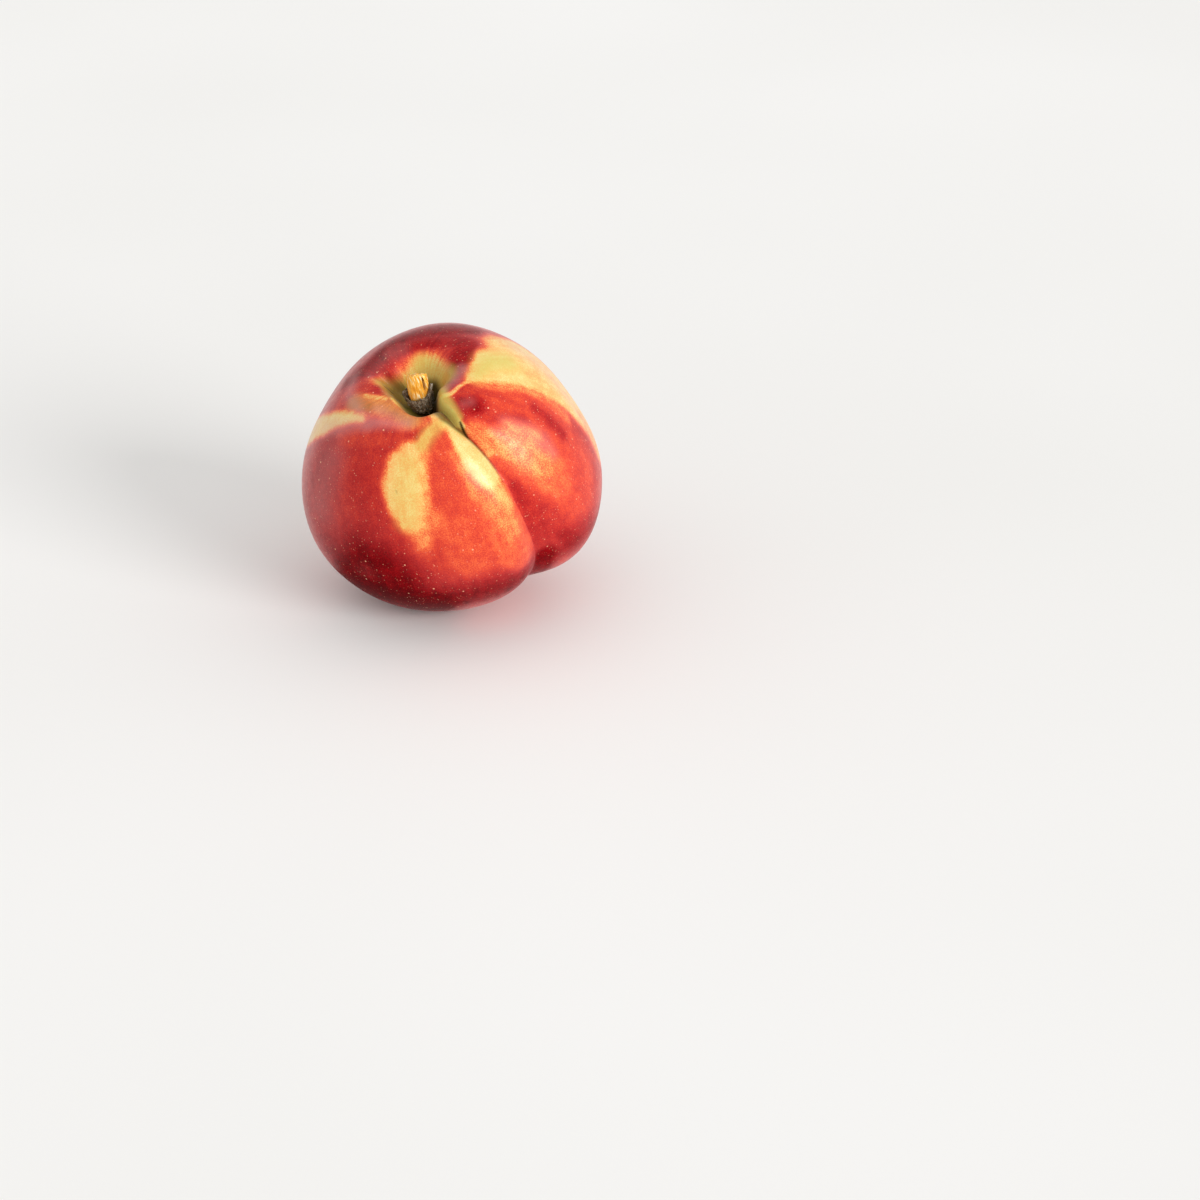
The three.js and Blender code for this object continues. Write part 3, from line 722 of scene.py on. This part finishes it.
def spread(tree, value, low, high, to_low, to_high):
    """A value eased from the range low..high to the range to_low..to_high."""
    inputs = {"Value": value, "From Min": low, "From Max": high, "To Min": to_low, "To Max": to_high}
    return node(tree, "MapRange", inputs, interpolation_type="SMOOTHSTEP").outputs["Result"]


def mixed(tree, share, first, second):
    # inputs 6 and 7 and output 2 are the colours among the node's sockets
    blend = node(tree, "Mix", {0: share, 6: first, 7: second}, data_type="RGBA")
    return blend.outputs[2]


def ramp(tree, value, stops):
    colors = node(tree, "ValToRGB", {"Fac": value})
    elements = colors.color_ramp.elements
    while len(elements) < len(stops):
        elements.new(1)
    for element, (position, color) in zip(elements, stops):
        element.position = position
        element.color = color
    return colors.outputs["Color"]


def bumped(tree, height, depth_mm, strength=1.0):
    inputs = {"Height": height, "Distance": depth_mm * MM, "Strength": strength}
    return node(tree, "Bump", inputs).outputs["Normal"]


def stretched(tree, place, along_stem):
    """Coordinates squeezed along the stem, so that textures become fibres."""
    return node(tree, "Mapping", {"Vector": place, "Scale": (1, 1, along_stem)}).outputs["Vector"]


# Each texture below is (scale, detail, roughness), and its levels are the ones that are eased to
# its lowest and highest values.
LEVELS = (0.3, 0.7)

# ---- material of the skin ----
BLUSH_COLORS = [
    (0.00, srgb(240, 214, 144)),
    (0.12, srgb(236, 190, 110)),
    (0.26, srgb(238, 158, 84)),
    (0.42, srgb(234, 104, 52)),
    (0.56, srgb(212, 62, 34)),
    (0.70, srgb(180, 32, 28)),
    (0.84, srgb(146, 6, 14)),
    (1.00, srgb(84, 0, 5)),
]
GREEN_COLOR = srgb(200, 187, 86)
# pale pink of the bloom, and of the painted sheen
BLOOM_AND_SHEEN_COLOR = srgb(214, 168, 164)
# dark brown of the scars, and of the painted shade
SHADE_AND_SCAR_COLOR = srgb(42, 28, 8)
LENTICEL_COLOR = srgb(250, 192, 152)
WHITE = srgb(255, 255, 255)
BLOOM_AND_SHEEN_STRENGTH = 0.42

GRAIN, GRAIN_LEVELS = (3.7, 2, 0.6), (0.32, 0.68)
BLOTCHES, BLOTCHINESS = (0.4, 3, 0.5), 0.5
# the streaks are weakest far from the stem
STREAKS, LEAST_STREAKINESS = (0.55, 3, 0.5), 0.35
# The three break the blush up most where it is orange, and less in these ranges of blush.
MOST_BROKEN, LEAST_BROKEN = 0.12, 0.06
YELLOW_TO_ORANGE, ORANGE_TO_RED = (0.05, 0.25), (0.36, 0.6)

# dots: cells in a millimetre, smallest and largest radius as shares of a cell, and strength
FINE_DOTS = (1.7, 0.02, 0.24, 0.45)
COARSE_DOTS = (0.8, -0.1, 0.16, 0.85)
# how soft the edge of a dot is, and how faint the faintest is beside the strongest
DOT_EDGE, FAINTEST = (-0.07, 0.06), 0.15
# levels of a cell's own random numbers that give its dot a size and a strength
SIZE_LEVELS, STRENGTH_LEVELS = (0.3, 1.0), (0.2, 1.0)
# blush over which the dots appear
DOTTED = (0.25, 0.65)

PATCHES, SKIN_ROUGHNESS = (0.8, 3, 0.5), (0.28, 0.38)
PORES, PORE_DEPTH, PORE_STRENGTH = (2.6, 3, 0.6), 0.05, 0.8
# highlights are strong up to the first of these values of blush, and gone at the second
SHINE, SHINY, DULL = 0.8, 0.5, 0.95
# how much of the skin's own colour they take
SHINE_TINT = 0.6
SKIN_SHADER = {
    "Subsurface Weight": 0.08,
    "Subsurface Radius": (1.0, 0.35, 0.15),
    "Subsurface Scale": 1.5 * MM,
    "Sheen Weight": 0.16,
    "Sheen Roughness": 0.3,
    "Sheen Tint": srgb(255, 232, 230),
}


def blush_value(tree, grown):
    """Painted blush broken up by grain, by blotches and by streaks that run from the stem."""
    painted = kept_value(tree, "blush")
    grain = spread(tree, noise(tree, grown, GRAIN), *GRAIN_LEVELS, -1, 1)
    blotches = spread(tree, noise(tree, grown, BLOTCHES), *LEVELS, -BLOTCHINESS, BLOTCHINESS)
    streaks = spread(tree, noise(tree, kept_place(tree, "meridian"), STREAKS), *LEVELS, -1, 1)
    streakiness = spread(tree, kept_value(tree, "near_stem"), 0, 1, LEAST_STREAKINESS, 1)
    streaks = calculate(tree, "MULTIPLY", streaks, streakiness)
    broken = calculate(tree, "ADD", grain, calculate(tree, "ADD", blotches, streaks))
    in_yellow = spread(tree, painted, *YELLOW_TO_ORANGE, LEAST_BROKEN / MOST_BROKEN, 1)
    in_red = spread(tree, painted, *ORANGE_TO_RED, MOST_BROKEN, LEAST_BROKEN)
    broken_by = calculate(tree, "MULTIPLY", in_yellow, in_red)
    return calculate(tree, "ADD", painted, calculate(tree, "MULTIPLY", broken, broken_by))


def dots(tree, grown, scale, smallest, largest, strongest):
    """Mask of soft dots, one to a cell of the skin, each with a size and a strength of its own."""
    cells = node(tree, "TexVoronoi", {"Vector": grown, "Scale": scale})
    own = node(tree, "SeparateColor", {"Color": cells.outputs["Color"]}).outputs
    radius = spread(tree, own["Red"], *SIZE_LEVELS, smallest, largest)
    inside = calculate(tree, "SUBTRACT", radius, cells.outputs["Distance"])
    strength = spread(tree, own["Green"], *STRENGTH_LEVELS, FAINTEST * strongest, strongest)
    return calculate(tree, "MULTIPLY", spread(tree, inside, *DOT_EDGE, 0, 1), strength)


def lenticels(tree, grown):
    """Mask of the small pale dots of the skin, which show where it is red."""
    fine = dots(tree, grown, *FINE_DOTS)
    coarse = dots(tree, grown, *COARSE_DOTS)
    where_red = spread(tree, kept_value(tree, "blush"), *DOTTED, 0, 1)
    return calculate(tree, "MULTIPLY", calculate(tree, "MAXIMUM", fine, coarse), where_red)


def skin_color(tree, grown):
    """The blush, and over it the green of the ground, the pale dots, the bloom with its painted sheen,
    and the brown marks with the painted shade.
    """
    color = ramp(tree, blush_value(tree, grown), BLUSH_COLORS)
    color = mixed(tree, kept_value(tree, "green"), color, GREEN_COLOR)
    color = mixed(tree, lenticels(tree, grown), color, LENTICEL_COLOR)
    bloom_and_sheen_share = calculate(tree, "MULTIPLY", kept_value(tree, "bloom_and_sheen"), BLOOM_AND_SHEEN_STRENGTH)
    color = mixed(tree, bloom_and_sheen_share, color, BLOOM_AND_SHEEN_COLOR)
    return mixed(tree, kept_value(tree, "shade_and_scar"), color, SHADE_AND_SCAR_COLOR)


def skin_shine(tree):
    """Strength of the highlights, which the maroon parts, the brown scars and the painted shade of the
    skin don't have.
    """
    shine = spread(tree, kept_value(tree, "blush"), SHINY, DULL, SHINE, 0)
    free_of_shade_and_scar = calculate(tree, "SUBTRACT", 1, kept_value(tree, "shade_and_scar"))
    return calculate(tree, "MULTIPLY", shine, free_of_shade_and_scar)


def skin_material():
    material, tree, shader = new_material("skin")
    grown = kept_place(tree, "grown")
    color = skin_color(tree, grown)
    feed(tree, shader, {
        "Base Color": color,
        "Roughness": spread(tree, noise(tree, grown, PATCHES), *LEVELS, *SKIN_ROUGHNESS),
        "Normal": bumped(tree, noise(tree, grown, PORES), PORE_DEPTH, PORE_STRENGTH),
        "Specular IOR Level": skin_shine(tree),
        "Specular Tint": mixed(tree, SHINE_TINT, WHITE, color),
    })
    feed(tree, shader, SKIN_SHADER)
    return material


# ---- materials of the stem and the floor ----
BARK_COLORS = [
    (0.32, srgb(38, 30, 20)),
    (0.45, srgb(104, 88, 66)),
    (0.56, srgb(150, 138, 118)),
    (0.68, srgb(212, 204, 188)),
]
BARK_FIBRES, BARK_SQUEEZE = (1.8, 5, 0.75), 0.4
BARK_GRIT, BARK_GRIT_DEPTH = (4.0, 4, 0.7), 0.25
BARK_ROUGHNESS = 0.85
WOOD_COLORS = [
    (0.28, srgb(190, 104, 20)),
    (0.40, srgb(240, 158, 36)),
    (0.54, srgb(252, 190, 72)),
    (0.66, srgb(255, 236, 186)),
]
GASH_COLOR = srgb(112, 58, 20)
WOOD_FIBRES, WOOD_SQUEEZE, WOOD_FIBRE_DEPTH = (2.2, 3, 0.6), 0.12, 0.3
WOOD_ROUGHNESS = 0.6
FLOOR_COLORS = [(0.3, srgb(238, 237, 234)), (0.7, srgb(244, 243, 241))]
# its scale is for each metre, because the floor has no coordinates in mm
FLOOR_CLOUDS = (3.0, 2, 0.5)
FLOOR_ROUGHNESS, FLOOR_SHINE = 0.9, 0.2


def bark_material():
    material, tree, shader = new_material("bark")
    grown = kept_place(tree, "grown")
    fibres = noise(tree, stretched(tree, grown, BARK_SQUEEZE), BARK_FIBRES)
    feed(tree, shader, {
        "Base Color": ramp(tree, fibres, BARK_COLORS),
        "Roughness": BARK_ROUGHNESS,
        "Normal": bumped(tree, noise(tree, grown, BARK_GRIT), BARK_GRIT_DEPTH),
    })
    return material


def wood_material():
    material, tree, shader = new_material("stem_wood")
    fibres = noise(tree, stretched(tree, kept_place(tree, "grown"), WOOD_SQUEEZE), WOOD_FIBRES)
    pale = ramp(tree, fibres, WOOD_COLORS)
    feed(tree, shader, {
        "Base Color": mixed(tree, kept_value(tree, "gash"), pale, GASH_COLOR),
        "Roughness": WOOD_ROUGHNESS,
        "Normal": bumped(tree, fibres, WOOD_FIBRE_DEPTH),
    })
    return material


def floor_material():
    material, tree, shader = new_material("floor")
    clouds = noise(tree, node(tree, "TexCoord", {}).outputs["Object"], FLOOR_CLOUDS)
    feed(tree, shader, {
        "Base Color": ramp(tree, clouds, FLOOR_COLORS),
        "Roughness": FLOOR_ROUGHNESS,
        "Specular IOR Level": FLOOR_SHINE,
    })
    return material


# ---- camera, floor and lights ----
# half the floor's side, in metres
FLOOR_REACH = 12.0
SKY_STRENGTH = 0.8
# one broad light from low on the right: azimuth, elevation, width in degrees, and strength
KEY_AZIMUTH, KEY_ELEVATION, KEY_WIDTH, KEY_STRENGTH = -44, 18, 30, 2.3


def make_camera():
    camera = bpy.data.objects.new("camera", bpy.data.cameras.new("camera"))
    camera.data.lens = LENS
    camera.data.sensor_width = SENSOR
    rise = math.radians(CAMERA_ELEVATION)
    back = Vector((0, -math.cos(rise), math.sin(rise)))
    camera.location = (Vector(MIDDLE) + CAMERA_DISTANCE * back) * MM
    camera.rotation_euler = (math.radians(90 - CAMERA_TILT), 0, math.radians(CAMERA_TURN))
    bpy.context.scene.collection.objects.link(camera)
    bpy.context.scene.camera = camera


def make_floor():
    mesh = bpy.data.meshes.new("floor")
    corners = [(x * FLOOR_REACH, y * FLOOR_REACH, 0) for x, y in ((-1, -1), (1, -1), (1, 1), (-1, 1))]
    mesh.from_pydata(corners, [], [(0, 1, 2, 3)])
    floor = bpy.data.objects.new("floor", mesh)
    bpy.context.scene.collection.objects.link(floor)
    mesh.materials.append(floor_material())


def make_sky():
    world = bpy.data.worlds.new("world")
    world.use_nodes = True
    sky = world.node_tree.nodes["Background"]
    feed(world.node_tree, sky, {"Color": WHITE, "Strength": SKY_STRENGTH})
    bpy.context.scene.world = world


def make_key_light():
    data = bpy.data.lights.new("key", "SUN")
    data.angle = math.radians(KEY_WIDTH)
    data.energy = KEY_STRENGTH
    light = bpy.data.objects.new("key", data)
    towards = Vector(direction(math.radians(KEY_AZIMUTH), math.radians(90 - KEY_ELEVATION)))
    light.rotation_euler = towards.to_track_quat("Z", "Y").to_euler()
    bpy.context.scene.collection.objects.link(light)


make_camera()
make_floor()
make_sky()
make_key_light()
pieces = [
    (make_skin(), "fruit", "skin"),
    (make_bark(), "stem_bark", "bark"),
    (make_wood(), "stem_wood", "stem_wood"),
]
for piece, replaced, slot in pieces:
    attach(piece, "root")
    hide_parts(replaced)
bpy.context.scene.view_settings.view_transform = "Standard"
